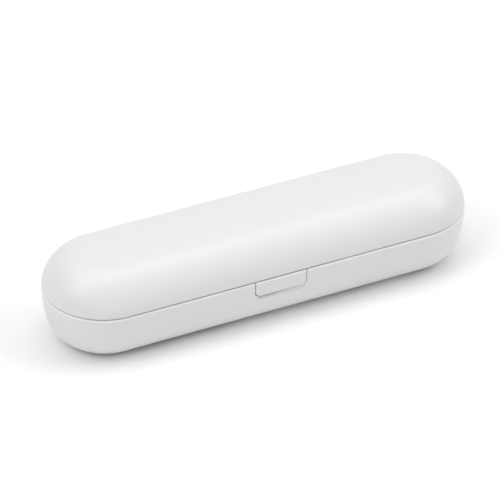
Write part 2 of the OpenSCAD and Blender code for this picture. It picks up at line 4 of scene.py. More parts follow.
import bmesh
import bpy
import numpy as np
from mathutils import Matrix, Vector

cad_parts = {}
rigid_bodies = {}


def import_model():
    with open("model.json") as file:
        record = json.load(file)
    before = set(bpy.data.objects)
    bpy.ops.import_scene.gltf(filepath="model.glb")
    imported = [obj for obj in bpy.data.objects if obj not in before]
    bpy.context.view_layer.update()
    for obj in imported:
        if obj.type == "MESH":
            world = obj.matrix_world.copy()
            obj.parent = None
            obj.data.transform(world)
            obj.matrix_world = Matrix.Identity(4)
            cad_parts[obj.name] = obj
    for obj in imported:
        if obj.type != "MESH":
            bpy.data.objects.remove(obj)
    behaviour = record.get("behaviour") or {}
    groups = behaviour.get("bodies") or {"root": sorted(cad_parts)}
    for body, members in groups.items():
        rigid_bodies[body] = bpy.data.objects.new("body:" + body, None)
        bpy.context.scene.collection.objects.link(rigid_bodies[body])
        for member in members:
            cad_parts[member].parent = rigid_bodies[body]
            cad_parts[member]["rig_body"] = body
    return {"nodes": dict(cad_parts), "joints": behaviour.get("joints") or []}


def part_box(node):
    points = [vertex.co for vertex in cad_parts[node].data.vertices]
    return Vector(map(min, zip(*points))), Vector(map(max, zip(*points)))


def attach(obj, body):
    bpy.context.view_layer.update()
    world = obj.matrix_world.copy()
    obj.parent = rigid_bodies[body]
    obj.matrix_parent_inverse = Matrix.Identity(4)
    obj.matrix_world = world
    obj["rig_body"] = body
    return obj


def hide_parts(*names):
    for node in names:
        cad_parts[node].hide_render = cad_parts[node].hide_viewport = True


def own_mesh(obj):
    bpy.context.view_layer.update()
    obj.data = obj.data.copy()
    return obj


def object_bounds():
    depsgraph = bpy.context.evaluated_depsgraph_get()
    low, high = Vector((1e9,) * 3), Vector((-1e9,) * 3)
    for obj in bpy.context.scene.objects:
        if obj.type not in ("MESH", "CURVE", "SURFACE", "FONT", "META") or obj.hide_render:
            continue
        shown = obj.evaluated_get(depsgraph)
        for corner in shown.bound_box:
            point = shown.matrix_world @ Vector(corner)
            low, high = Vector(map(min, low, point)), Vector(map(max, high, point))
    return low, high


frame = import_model()
cadLow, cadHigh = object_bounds()
mm = 0.001
print("frame loaded with", len(frame["nodes"]), "nodes")

# The case, in millimetres. The hinge axis is the lid joint's, and the case's size is the frame's.
hingeJoint = next(j for j in frame["joints"] if j["name"] == "lid_hinge")
caseForm = {
    "halfLength": -cadLow.x / mm - 0.005,
    "halfWidth": cadHigh.y / mm - 0.005,
    "top": cadHigh.z / mm,
    "seam": hingeJoint["pos_m"][2] / mm,  # height of the hinge axis, and of the solids' seam
    "seamGap": 0.5,
    "seamDrop": 0.4,                      # how far the visible seam lies below that
    "wall": 2.4,
    "turnSteps": 48,                      # stations round each end
}
spineHalf = caseForm["halfLength"] - caseForm["halfWidth"]
straight = 2 * spineHalf
turn = math.pi * caseForm["halfWidth"]
turnS = np.linspace(0, turn, caseForm["turnSteps"] + 1)[1:-1]
endsS = np.concatenate([straight + turnS, 2 * straight + turn + turnS])
# The rims' distances from the height of the hinge axis.
lidRim = caseForm["seamGap"] / 2 - caseForm["seamDrop"]
baseRim = caseForm["seamGap"] / 2 + caseForm["seamDrop"]


# ---- grids and meshes ----

# Quads between neighbouring rings of a grid that is numbered ring by ring.
def gridQuads(rings, steps, closeRings=True, closeSteps=False):
    i = np.arange(rings if closeRings else rings - 1)[:, None]
    j = np.arange(steps if closeSteps else steps - 1)[None, :]
    nextI, nextJ = (i + 1) % rings, (j + 1) % steps
    corners = [i * steps + j, nextI * steps + j, nextI * steps + nextJ, i * steps + nextJ]
    return np.stack([c + 0 * i for c in corners], -1).reshape(-1, 4)


meshForm = {"mergeDistance": 1e-7, "sharpAngle": 32}


# One closed mesh from grids of points in millimetres.
def surfacePiece(name, parts, material, body, stands):
    points = np.concatenate([np.reshape(p, (-1, 3)) for p, quads in parts]) * mm
    starts = np.cumsum([0] + [np.size(p) // 3 for p, quads in parts[:-1]])
    quads = np.concatenate([q + s for (p, q), s in zip(parts, starts)])
    mesh = bpy.data.meshes.new(name)
    mesh.from_pydata(points, [], quads.tolist())
    tidyMesh(mesh, **meshForm)
    return placePiece(name, mesh, material, body, stands)


# Doubles merged, and smooth but for edges sharper than the given angle. Faces are turned
# outwards, or where a flat angle is given they already are, and flat neighbours are joined.
def tidyMesh(mesh, mergeDistance, sharpAngle, flatAngle=None):
    work = bmesh.new()
    work.from_mesh(mesh)
    bmesh.ops.remove_doubles(work, verts=work.verts, dist=mergeDistance)
    if flatAngle is None:
        bmesh.ops.recalc_face_normals(work, faces=work.faces)
    else:
        bmesh.ops.dissolve_limit(work, angle_limit=math.radians(flatAngle), verts=work.verts,
                                 edges=work.edges)
    work.to_mesh(mesh)
    work.free()
    mesh.polygons.foreach_set("use_smooth", np.ones(len(mesh.polygons), bool))
    mesh.set_sharp_from_angle(angle=math.radians(sharpAngle))


def placePiece(name, mesh, material, body, stands):
    piece = bpy.data.objects.new(name, mesh)
    bpy.context.scene.collection.objects.link(piece)
    mesh.materials.clear()
    mesh.materials.append(material)
    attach(piece, body)
    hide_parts(*stands)
    return piece


# ---- the finishes ----

def addNode(tree, kind, values=None, **settings):
    node = tree.nodes.new(kind)
    for key, value in settings.items():
        setattr(node, key, value)
    for key, value in (values or {}).items():
        node.inputs[key].default_value = value
    return node


# start + (source - low) / (high - low) * (end - start), held between start and end.
def spread(tree, source, low, high, start, end):
    node = addNode(tree, "ShaderNodeMapRange",
                   {"From Min": low, "From Max": high, "To Min": start, "To Max": end})
    tree.links.new(source, node.inputs["Value"])
    return node.outputs["Result"]


# One operation on a value, or on a value and each of the others in turn.
def maths(tree, operation, result, *others):
    for other in others or (0,):
        node = addNode(tree, "ShaderNodeMath", operation=operation)
        for socket, value in zip(node.inputs, (result, other)):
            if isinstance(value, (int, float)):
                socket.default_value = value
            else:
                tree.links.new(value, socket)
        result = node.outputs[0]
    return result


# The distance between two values.
def apart(tree, a, b):
    return maths(tree, "ABSOLUTE", maths(tree, "SUBTRACT", a, b))


def noise(tree, coords, scale, detail, roughness=0.5):
    node = addNode(tree, "ShaderNodeTexNoise",
                   {"Scale": scale, "Detail": detail, "Roughness": roughness})
    tree.links.new(coords, node.inputs["Vector"])
    return node.outputs["Fac"]


def ramp(tree, source, *stops):
    node = addNode(tree, "ShaderNodeValToRGB")
    elements = node.color_ramp.elements
    while len(elements) < len(stops):
        elements.new(0.5)
    for element, (place, colour) in zip(elements, stops):
        element.position = place
        element.color = (*colour, 1)
    tree.links.new(source, node.inputs["Fac"])
    return node.outputs["Color"]


def shade(colour, factor):
    return tuple(c * factor for c in colour)


def stretched(tree, coords, scale, turn=(0, 0, 0)):
    node = addNode(tree, "ShaderNodeMapping", {"Scale": scale, "Rotation": turn})
    tree.links.new(coords, node.inputs["Vector"])
    return node.outputs[0]


def bump(tree, source, strength, depth, invert=False, normal=None):
    node = addNode(tree, "ShaderNodeBump", {"Strength": strength, "Distance": depth},
                   invert=invert)
    tree.links.new(source, node.inputs["Height"])
    if normal:
        tree.links.new(normal, node.inputs["Normal"])
    return node.outputs[0]


# An empty finish: its material and tree, its shader, and the object's own coordinates.
def newFinish(name):
    material = bpy.data.materials.new(name)
    material.use_nodes = True
    tree = material.node_tree
    coords = addNode(tree, "ShaderNodeTexCoord").outputs["Object"]
    return material, tree, tree.nodes["Principled BSDF"], coords


def connect(tree, skin, colour, rough, normal):
    for name, source in (("Base Color", colour), ("Roughness", rough), ("Normal", normal)):
        tree.links.new(source, skin.inputs[name])


# Painted shade in the hollow under the button, in metres: how deep it starts, is darkest, and
# fades again behind the wall, the height of its foot and of its head, and how it ends at the
# sides.
hollowForm = {"starts": (0.0001, 0.0008), "behind": (0.0022, 0.003),
              "foot": (0.0163, 0.0167), "head": (0.01855, 0.01885),
              "middleX": -0.00035, "sides": (0.0133, 0.0141)}


# Painted shade in the hollow under the button: it grows with the depth inside the bulged front,
# found as the front arc's radius less the distance from the arc's own centre line.
def fingerHollow(tree, place, look):
    f, frontArc = hollowForm, look["frontArc"]
    out = maths(tree, "SUBTRACT", frontArc - caseForm["halfWidth"] * mm, place["Y"])
    down = maths(tree, "SUBTRACT", caseForm["seam"] * mm, place["Z"])
    squares = maths(tree, "ADD", maths(tree, "MULTIPLY", out, out),
                    maths(tree, "MULTIPLY", down, down))
    deep = maths(tree, "SUBTRACT", frontArc, maths(tree, "SQRT", squares))
    aside = apart(tree, place["X"], f["middleX"])
    return maths(tree, "MULTIPLY", spread(tree, deep, *f["starts"], 0, look["hollowDark"]),
                 spread(tree, deep, *f["behind"], 1, 0),
                 spread(tree, place["Z"], *f["head"], 1, 0),
                 spread(tree, place["Z"], *f["foot"], 0, 1),
                 spread(tree, aside, *f["sides"], 1, 0))


# What the moulded plastics share. Places and depths are in metres.
mouldForm = {
    "seamRub": (0.0004, 0.0022),   # from the seam, full wear to none
    "footRub": (0.0001, 0.0012),   # above the table, full wear to none
    "rubScale": 260, "rubRange": (0.42, 0.62), "rubShine": 0.03,
    "underside": (0.0014, 0.003),  # above the table, painted shade full to none
    "rimFade": 1.8, "grooveFade": 1.4, "paintedShadeTone": 0.5,
    "scratchStretch": (0.06, 1, 1), "scratchTurn": (0.3, 0.2, 0.5), "scratchScale": 500,
    "scratchHalf": 0.004, "scratchDepth": 0.00001,
}


# Moulded plastic. In the colour: broad faint clouds, a painted highlight on the base's rim below
# the seam, and painted shade in the seam, under the button and low on the underside. In the
# sheen: faint patches, and a rubbed gloss by the seam and the table. In the bump: hairline
# scratches, which are the places where a stretched noise crosses its middle, under a fine
# spark-eroded grain.
# The roughness stays above 0.28, since the render's denoiser marks the places where it doesn't.
def mouldedPlastic(name, look):
    f = mouldForm
    material, tree, skin, coords = newFinish(name)
    place = addNode(tree, "ShaderNodeSeparateXYZ")
    tree.links.new(coords, place.inputs[0])
    height = place.outputs["Z"]

    seamMiddle = (caseForm["seam"] - caseForm["seamDrop"]) * mm
    seamAway = apart(tree, height, seamMiddle)
    rubbed = maths(tree, "MAXIMUM", spread(tree, seamAway, *f["seamRub"], 1, 0),
                   spread(tree, height, *f["footRub"], 1, 0))
    patches = spread(tree, noise(tree, coords, f["rubScale"], 4), *f["rubRange"], 0, 1)
    wear = maths(tree, "MULTIPLY", rubbed, patches, look["wear"])

    clouds = noise(tree, coords, look["cloudScale"], 3, 0.55)
    # painted highlight: a lighter band along the base's rounded rim, just below the seam
    rimAway = apart(tree, height, seamMiddle - look["rimDown"])
    rim = spread(tree, rimAway, look["rimHalf"], look["rimHalf"] * f["rimFade"],
                 look["rimHighlight"], 0)
    # painted shade in the gap of the seam
    groove = spread(tree, seamAway, look["grooveHalf"], look["grooveHalf"] * f["grooveFade"],
                    look["grooveDark"], 0)
    # painted shade low on the underside, near the table
    under = spread(tree, height, *f["underside"], look["underDark"], 0)
    # all the painted shade, in the seam, under the button and on the underside, which darkens the
    # colour towards the ramp's first stop
    paintedShade = maths(tree, "MAXIMUM", groove, fingerHollow(tree, place.outputs, look), under)
    tone = maths(tree, "SUBTRACT", maths(tree, "ADD", clouds, rim), paintedShade)
    colour = ramp(tree, tone, (0, shade(look["colour"], f["paintedShadeTone"])),
                  (0.25, shade(look["colour"], 1 - look["cloud"])),
                  (0.5, look["colour"]), (0.75, shade(look["colour"], 1 + look["cloud"] / 2)),
                  (0.95, look["rimHighlightColour"]))

    patchy = spread(tree, noise(tree, coords, look["cloudScale"] * 3, 4), 0, 1,
                    look["rough"] - look["roughSpread"], look["rough"] + look["roughSpread"])
    rough = maths(tree, "SUBTRACT", patchy, maths(tree, "MULTIPLY", wear, f["rubShine"]))

    along = stretched(tree, coords, f["scratchStretch"], f["scratchTurn"])
    crossing = apart(tree, noise(tree, along, f["scratchScale"], 1), 0.5)
    scratches = bump(tree, spread(tree, crossing, 0, f["scratchHalf"], 1, 0), look["scratch"],
                     f["scratchDepth"], invert=True)
    grain = bump(tree, noise(tree, coords, look["grainScale"], 2, 0.6), look["grain"],
                 look["grainDepth"], normal=scratches)
    connect(tree, skin, colour, rough, grain)
    skin.inputs["IOR"].default_value = look["ior"]
    skin.inputs["Specular IOR Level"].default_value = look["specular"]
    return material


# Soft rubber: matt, with a powdery bloom in the colour and the sheen, and fine pores as bump.
def softRubber(name, look):
    material, tree, skin, coords = newFinish(name)
    bloom = noise(tree, coords, look["bloomScale"], 5, 0.6)
    colour = ramp(tree, bloom, (0.3, look["colour"]),
                  (0.75, shade(look["colour"], look["bloom"])))
    rough = spread(tree, bloom, 0.3, 0.7, look["rough"] - look["roughSpread"],
                   look["rough"] + look["roughSpread"])
    pores = addNode(tree, "ShaderNodeTexVoronoi", {"Scale": look["poreScale"]})
    tree.links.new(coords, pores.inputs["Vector"])
    connect(tree, skin, colour, rough,
            bump(tree, pores.outputs["Distance"], look["pore"], look["poreDepth"]))
    skin.inputs["Sheen Weight"].default_value = look["sheen"]
    return material


# Turned steel: small stains in the colour and the sheen, and fine lathe lines as bump.
def turnedSteel(name, look):
    material, tree, skin, coords = newFinish(name)
    stains = noise(tree, coords, look["stainScale"], 4, 0.6)
    colour = ramp(tree, stains, (0.3, shade(look["colour"], look["stain"])),
                  (0.7, look["colour"]))
    rough = spread(tree, stains, 0.3, 0.7, look["rough"], look["rough"] + look["roughSpread"])
    lines = noise(tree, stretched(tree, coords, look["lineStretch"]), look["lineScale"], 2)
    connect(tree, skin, colour, rough, bump(tree, lines, look["line"], look["lineDepth"]))
    skin.inputs["Metallic"].default_value = 1
    return material


# rimHighlight and its colour paint a highlight on the base's rim; grooveDark, hollowDark and
# underDark paint shade in the seam, under the button and low on the underside.
shellLook = {"colour": (0.852, 0.85, 0.847), "cloud": 0.006, "cloudScale": 22, "rough": 0.32,
             "roughSpread": 0.05, "grain": 0.25, "grainScale": 3800, "grainDepth": 0.00002,
             "scratch": 0.05, "wear": 0.5, "ior": 1.48, "specular": 0.5,
             "rimHighlightColour": (0.99, 0.99, 0.985), "rimDown": 0.0006, "rimHalf": 0.0005,
             "rimHighlight": 0.5, "grooveHalf": 0.00025, "grooveDark": 0.65,
             "frontArc": 0.07, "hollowDark": 0.5, "underDark": 0.5}
insideLook = {**shellLook, "rimHighlight": 0.0, "grooveDark": 0.0, "hollowDark": 0.0,
              "underDark": 0.0}
linerLook = {**insideLook, "colour": (0.62, 0.635, 0.645), "cloud": 0.015, "rough": 0.5,
             "grain": 0.4, "grainScale": 2600, "wear": 0.3}
acetalLook = {**insideLook, "colour": (0.72, 0.72, 0.68), "cloud": 0.02, "rough": 0.34,
              "grain": 0.12, "cloudScale": 60, "wear": 0.0}
rubberLook = {"colour": (0.17, 0.185, 0.20), "rough": 0.72, "roughSpread": 0.06,
              "bloom": 1.18, "bloomScale": 160, "pore": 0.35, "poreScale": 2600,
              "poreDepth": 0.00004, "sheen": 0.15}
steelLook = {"colour": (0.62, 0.63, 0.65), "rough": 0.24, "roughSpread": 0.14,
             "stain": 0.86, "stainScale": 700, "line": 0.2, "lineScale": 2600,
             "lineStretch": (1, 1, 6), "lineDepth": 0.00002}
shellWhite = mouldedPlastic("shellWhite", shellLook)
linerGrey = mouldedPlastic("linerGrey", linerLook)
acetalWhite = mouldedPlastic("acetalWhite", acetalLook)
restRubber = softRubber("restRubber", rubberLook)
screwSteel = turnedSteel("screwSteel", steelLook)
print("finishes made")


# ---- the two shells ----

# A point of the case. s runs right round the spine's outline from its front left corner, d is
# the distance out from the spine, z the height. The straight runs move the spine point and the
# two ends turn the way out.
def ringPoint(s, d, z):
    x = -spineHalf + np.clip(s, 0, straight) - np.clip(s - straight - turn, 0, straight)
    roundEnds = np.clip(s - straight, 0, turn) + np.clip(s - 2 * straight - turn, 0, turn)
    angle = -math.pi / 2 + math.pi * roundEnds / turn
    return np.stack([x + d * np.cos(angle), d * np.sin(angle), z + 0 * d], -1)


# The y share of the way out at s, and the s of a place on the front and on the back.
def outwardY(s):
    return ringPoint(s, np.ones_like(s), 0 * s)[..., 1]


def frontS(x):
    return np.asarray(x, float) + spineHalf


def backS(x):
    return straight + turn + spineHalf - np.asarray(x, float)


justBeside, almostZero, almostOne, settleSteps = 1e-4, 1e-9, 0.9999, 30


# Places round the case in order. A place where the section changes at once is there twice, and
# its two probes lie just before and just after it.
def stations(plain, changes):
    s = np.concatenate([plain, changes, changes])
    probe = np.concatenate([plain, changes - justBeside, changes + justBeside])
    order = np.argsort(probe)
    return s[order], probe[order]


# Straight lines through the corners of each station's section, with the given steps on each.
def throughCorners(corners, steps):
    runs = []
    for j, count in enumerate(steps):
        t = np.linspace(0, 1, count + 1)[1:]
        runs.append(corners[:, j, None] * (1 - t) + corners[:, j + 1, None] * t)
    return np.concatenate(runs, 1)


# The value that a step leaves as it is, found by repeating the step.
def settled(value, step):
    for _ in range(settleSteps):
        value = step(value)
    return value


hingeForm = {
    "axisY": hingeJoint["pos_m"][1] / mm,
    "middles": (-52, 52),         # places of the two hinges along the case
    "length": 24, "baseKnuckle": 6, "lidKnuckle": 11.4, "room": 0.3, "barrel": 2.09,
    "baseHole": 0.81,             # grips the pin
    "lidHole": 0.85,              # turns on it
    "chamfer": 0.18, "bevel": math.radians(56.5),
    "bevelReach": 12,             # more than the bevel's height
    "webPlanes": ((1, 0, 0.1), (0, 1, 6), (-4.8, 1.4, 11.28), (-0.9, -0.8, 0.84)),
    "webStart": 0.3, "webReach": 6.1, "steps": 144,
}
pocketRadius = hingeForm["barrel"] + hingeForm["room"]


# Places where a shell is hollowed for the other shell's knuckles, as (middle, half length),
# and the edges of those places.
def pocketSpans(up):
    spans = []
    for middle in hingeForm["middles"]:
        if up < 0:
            spans.append((middle, hingeForm["lidKnuckle"] / 2 + hingeForm["room"]))
        else:
            offset = (hingeForm["length"] - hingeForm["baseKnuckle"]) / 2
            spans += [(middle + side * offset, hingeForm["baseKnuckle"] / 2 + hingeForm["room"])
                      for side in (-1, 1)]
    return spans


def pocketEdges(up):
    return np.array([middle + side * half for middle, half in pocketSpans(up)
                     for side in (-1, 1)])


# One shell as sections round the case, whose rim is given in plainRim's terms and order.
# Heights h are distances from the hinge axis' height. Each section runs from the spine out over
# the outer face, round the rim, and back inside. The back rim is bevelled: h is at least
# (y - axis) * tan(bevel), and in a knuckle pocket at least that of a circle round the axis.
def shellGrid(form, rim, up):
    foot, top, hTop, pullS, pullH, soft, deep, scoop, pocket, lip = (
        values[:, None] for values in rim.values())
    outY = outwardY(foot)
    axisY, tanBevel = hingeForm["axisY"], math.tan(hingeForm["bevel"])

    def limit(y):
        circle = np.sqrt(np.clip(pocketRadius ** 2 - (y - axisY) ** 2, 0, None))
        return np.maximum((y - axisY) * tanBevel, np.where(pocket, circle, -np.inf))

    # where the bevel meets the outer face, which is below the rim away from the back
    def meetOuter(h):
        height = (form["wallOut"](h) * outY - axisY) * tanBevel
        return np.clip(height, -1, hingeForm["bevelReach"])

    hEnd = settled(np.full_like(foot, pocketRadius), meetOuter)

    # outer face
    capS = foot + 0 * form["capOut"][0]
    rows = [(capS, form["capOut"][0] + 0 * foot, form["capOut"][1] + 0 * foot)]
    t = np.linspace(0, 1, form["wallSteps"] + 1)[1:]
    startH = np.maximum(hTop + pullH * soft, hEnd)
    wallH = form["footOut"] + (startH - form["footOut"]) * t
    rows.append((foot + (top - pullS * soft - foot) * t, form["wallOut"](wallH), wallH))

    # soft outer edge of the rim: rounded, or hollowed like a scoop where a finger presses in
    turnIn = np.radians(np.linspace(0, 90, form["edgeSteps"] + 1)[1:])
    back = soft * (scoop * np.cos(turnIn) + (1 - scoop) * (1 - np.sin(turnIn)))
    depth = deep * (scoop * np.sin(turnIn) + (1 - scoop) * (1 - np.cos(turnIn)))
    edgeH = hTop + pullH * back
    edgeD = form["wallOut"](np.maximum(edgeH, hEnd)) - depth
    rows.append((top - pullS * back, edgeD, np.maximum(edgeH, limit(edgeD * outY))))

    # rim, with its lip or its recess
    plain = (pullH > almostOne) & (hTop < hTop.min() + almostZero)
    pocketIn = settled(np.full_like(foot, pocketRadius), lambda h: np.sqrt(
        pocketRadius ** 2 - (form["wallIn"](h) - axisY) ** 2))
    cornersD, cornersH = form["rimCorners"](edgeD[:, -1:], hTop, plain, lip)
    inH = np.where(pocket, pocketIn, cornersH[:, -1:])
    cornersD[:, -1:] = form["wallIn"](inH)
    rimD = throughCorners(cornersD, form["rimSteps"])
    rimH = throughCorners(cornersH, form["rimSteps"])
    rows.append((top + 0 * rimD, rimD, np.maximum(rimH, limit(rimD * outY))))

    # inner face
    t = np.linspace(0, 1, form["wallSteps"] // 2 + 1)
    startIn = np.maximum(inH, pocketIn)
    wallInH = startIn + (form["footIn"] - startIn) * t
    along = (wallInH - hTop) / (form["footIn"] - hTop)
    rows.append((top + (foot - top) * along, form["wallIn"](wallInH), wallInH))
    capS = foot + 0 * form["capIn"][0]
    rows.append((capS, form["capIn"][0] + 0 * foot, form["capIn"][1] + 0 * foot))

    s, d, h = (np.concatenate(group, 1) for group in zip(*rows))
    points = ringPoint(s, d, caseForm["seam"] + up * h)
    return points, gridQuads(*points.shape[:2])


# Points of an arc in the section plane, from one angle to another, in degrees.
def arc(centre, radius, start, end, steps):
    a = np.radians(np.linspace(start, end, steps))
    return centre[0] + radius * np.cos(a), centre[1] + radius * np.sin(a)


def joined(*runs):
    return [np.concatenate(part) for part in zip(*runs)]


# A rim that runs level round the case. For each station: the places of its foot and its top,
# the top's height, the way towards the opening, the soft edge's width and depth, the share of
# scoop in it, whether it is in a pocket, and whether it has a lip.
def plainRim(s, probe, up, soft, lip):
    straightBack = outwardY(probe) > almostOne
    x = ringPoint(probe, 0 * probe, probe)[:, 0]
    pocket = straightBack & np.any([abs(x - m) < half for m, half in pocketSpans(up)], 0)
    one = np.ones_like(s)
    return {"footS": s, "topS": s, "topH": (lidRim if up > 0 else baseRim) * one,
            "pullS": 0 * s, "pullH": one, "soft": soft * one, "deep": soft * one,
            "scoop": 0 * one, "pocket": pocket, "lip": lip}


# Hinge knuckle: the barrel's circle and the web that ties it to the wall, as one radius for
# each angle about the hinge axis, carried along it, with small chamfers and the pin's hole.
# The web's radius is the least distance to the planes that bound it, each as its two factors
# of y and h and their sum's limit.
def knuckle(middle, length, up, hole):
    planes, chamfer = np.array(hingeForm["webPlanes"]), hingeForm["chamfer"]
    a = np.radians(np.linspace(0, 360, hingeForm["steps"] + 1)[:-1])
    ray = np.stack([np.cos(a), np.sin(a)])
    facing = planes[:, :2] @ ray
    away = planes[:, 2:] / np.maximum(facing, almostZero)
    reach = np.where(facing > almostZero, away, np.inf).min(0)
    reach = np.where(reach * ray[1] >= hingeForm["webStart"], reach, 0)
    outline = np.maximum(hingeForm["barrel"], np.minimum(reach, hingeForm["webReach"]))
    half = length / 2
    along = np.array([-half, chamfer - half, half - chamfer, half, half, -half])
    radius = np.stack([outline - chamfer, outline, outline, outline - chamfer,
                       0 * outline + hole, 0 * outline + hole])
    points = np.stack([middle + along[:, None] + 0 * radius,
                       hingeForm["axisY"] + radius * ray[0],
                       caseForm["seam"] + up * radius * ray[1]], -1)
    return points, gridQuads(*points.shape[:2], closeSteps=True)


# Profile of (radius, height) turned about an upright line.
def turned(x, y, profile, steps=32):
    a = np.linspace(0, 2 * math.pi, steps + 1)[:-1, None]
    r, z = np.array(profile, float).T
    points = np.stack([x + r * np.cos(a), y + r * np.sin(a), z + 0 * a], -1)
    return points, gridQuads(steps, len(profile))


# Screw posts, and for each kind the places on either side of the middle, the y, the heights of
# the root and the mouth, and the depth of the hole.
postForm = {
    "radius": 2.6, "hole": 1.02, "chamfer": 0.25,
    "liner": ((34.1, 74.36), -15.7, (43.5, 34.0), 7.4),
    "catch": ((8.2,), -17.525, (43.1, 33.8), 7.4),
    "tray": ((34.1, 74.36), -15.7, (1.6, 11.5), 6),
    "bracket": ((19.3,), -18.825, (2.8, 19.0), 6),
}


# The posts of one kind, each turned from a profile with a chamfered mouth and a blind hole.
def screwPosts(kind):
    radius, hole, chamfer = (postForm[key] for key in ("radius", "hole", "chamfer"))
    places, y, (root, mouth), deep = postForm[kind]
    away = math.copysign(1, mouth - root)
    bottom = mouth - away * deep
    profile = [(0, root), (radius, root), (radius, mouth - away * chamfer),
               (radius - chamfer, mouth), (hole, mouth), (hole, bottom), (0, bottom)]
    return [turned(side * x, y, profile) for side in (-1, 1) for x in places]


# Lid: the crown and shoulder arcs touch, and the shoulder passes the hinge axis' height at the
# full width. The wall takes over from the cap at its start, and draws in by the tuck below.
lidForm = {"crown": 105, "shoulder": 19.5, "edge": 0.25, "recess": 28.75, "recessTop": 1.9,
           "wallStart": 6.0, "tuck": 0.2, "tuckHeight": 3.0, "bays": 52, "outSteps": 36,
           "inSteps": 24, "wallSteps": 16, "edgeSteps": 6, "rimSteps": (6, 2, 10)}


def lidShell():
    width, rise = caseForm["halfWidth"], caseForm["top"] - caseForm["seam"]
    crown, shoulder, wall = lidForm["crown"], lidForm["shoulder"], caseForm["wall"]
    low = crown - rise
    a = (crown ** 2 - 2 * crown * shoulder - low ** 2 + width ** 2) / (2 * width)
    slope = low / width
    quad = (1 + slope ** 2, 2 * slope * (width - a), (width - a) ** 2 - shoulder ** 2)
    centreH = (-quad[1] + math.sqrt(quad[1] ** 2 - 4 * quad[0] * quad[2])) / (2 * quad[0])
    centre = (a - slope * centreH, centreH)
    meet = math.degrees(math.atan2(centreH + low, centre[0]))

    def wallAt(inset):
        return lambda h: centre[0] + np.sqrt((shoulder - inset) ** 2 - (h - centreH) ** 2)

    # The outer face draws in by the tuck towards the seam, so that the base's rim stands proud.
    def wallOut(h):
        near = np.clip(1 - h / lidForm["tuckHeight"], 0, 1)
        return wallAt(0)(h) - lidForm["tuck"] * near ** 2

    def cap(inset, steps):
        r, start = shoulder - inset, lidForm["wallStart"]
        last = math.degrees(math.asin((start - centreH) / r))
        over = arc((0, -low), crown - inset, 90, meet, steps // 3)
        down = arc(centre, r, meet, last, steps)
        return joined((over[0][:-1], over[1][:-1]), down)

    def rimCorners(outD, hTop, plain, lip):
        recess, recessTop = lidForm["recess"] + 0 * outD, lidForm["recessTop"] + 0 * hTop
        inD = wallAt(wall)(recessTop)
        return (np.concatenate([outD, recess, recess, inD], 1),
                np.concatenate([hTop, hTop, recessTop, recessTop], 1))

    form = {**lidForm, "capOut": cap(0, lidForm["outSteps"]),
            "capIn": [row[::-1] for row in cap(wall, lidForm["inSteps"])],
            "wallOut": wallOut, "wallIn": wallAt(wall), "footOut": lidForm["wallStart"],
            "footIn": lidForm["wallStart"], "rimCorners": rimCorners}
    changes = pocketEdges(1)
    plainX = np.linspace(-spineHalf, spineHalf, lidForm["bays"] + 1)
    s, probe = stations(np.concatenate([frontS(plainX), frontS(changes), backS(plainX), endsS]),
                        backS(changes))
    rim = plainRim(s, probe, 1, lidForm["edge"], 0 * s)
    parts = [shellGrid(form, rim, 1)]
    parts += [knuckle(m, hingeForm["lidKnuckle"], 1, hingeForm["lidHole"])
              for m in hingeForm["middles"]]
    parts += screwPosts("liner") + screwPosts("catch")
    return surfacePiece("lidShell", parts, shellWhite, "lid", ["lid_shell"])


# Base: a flat floor, a corner arc and a bulged side arc that stands upright at the seam.
baseForm = {"side": 70, "corner": 16, "edge": 0.85, "lipOut": 28.5, "lipHeight": 1.6,
            "lipEndY": 13.5, "floorPosts": (-62, 22), "postLow": (4.8, 1.2),
            "postHigh": (14.2, 7.6), "postHalf": 1, "postEdge": 0.2, "outSteps": 28,
            "inSteps": 16, "floorSteps": 4, "wallSteps": 24, "edgeSteps": 8,
            "rimSteps": (8, 1, 8, 1), "bays": 17}
# Opening for the button: middle, half width, lowest height and corner radii, with the soft
# edge's width and depth at its sides and below it, where a finger presses in. The fan is the
# stretch of front whose stations follow the opening, and the lip starts outside the button.
# The steps are those along the rim, the top corner, the side, the lower corner and the bottom.
notchForm = {"middleX": -0.35, "halfWidth": 13.45, "low": 18.4, "corner": 3.6,
             "topCorner": 0.6, "sideSoft": 0.65, "lowSoft": 1.4, "lowDeep": 0.7,
             "scoopStart": 0.3, "fan": 27.8, "lipStart": 15.0, "steps": (10, 5, 6, 12, 8)}


# Half of the rim's way round the button, from the left to the middle: along the rim, round the
# top corner, down the side, round the lower corner and along the bottom. For each point: x, its
# depth below the hinge axis, and the two parts of the way towards the opening.
def notchHalf():
    f = notchForm
    lowH = caseForm["seam"] - f["low"]
    corner, small, w = f["corner"], f["topCorner"], f["halfWidth"]
    rimSteps, smallSteps, sideSteps, cornerSteps, lowSteps = f["steps"]

    def line(start, end, pull, steps):
        t = np.linspace(0, 1, steps + 1)[:-1, None]
        xy = np.array(start) * (1 - t) + np.array(end) * t
        return np.hstack([xy, np.array([pull] * steps)])

    a = np.radians(np.linspace(90, 0, smallSteps + 1)[:-1, None])
    topTurn = np.hstack([-w - small + small * np.cos(a), baseRim + small - small * np.sin(a),
                         np.cos(a), np.sin(a)])
    a = np.radians(np.linspace(0, 90, cornerSteps + 1)[:-1, None])
    lowTurn = np.hstack([-w + corner - corner * np.cos(a), lowH - corner + corner * np.sin(a),
                         np.cos(a), np.sin(a)])
    runs = [line((-f["fan"], baseRim), (-w - small, baseRim), (0, 1), rimSteps), topTurn,
            line((-w, baseRim + small), (-w, lowH - corner), (1, 0), sideSteps), lowTurn,
            line((-w + corner, lowH), (0, lowH), (0, 1), lowSteps), [[0, lowH, 0, 1]]]
    return np.concatenate(runs)


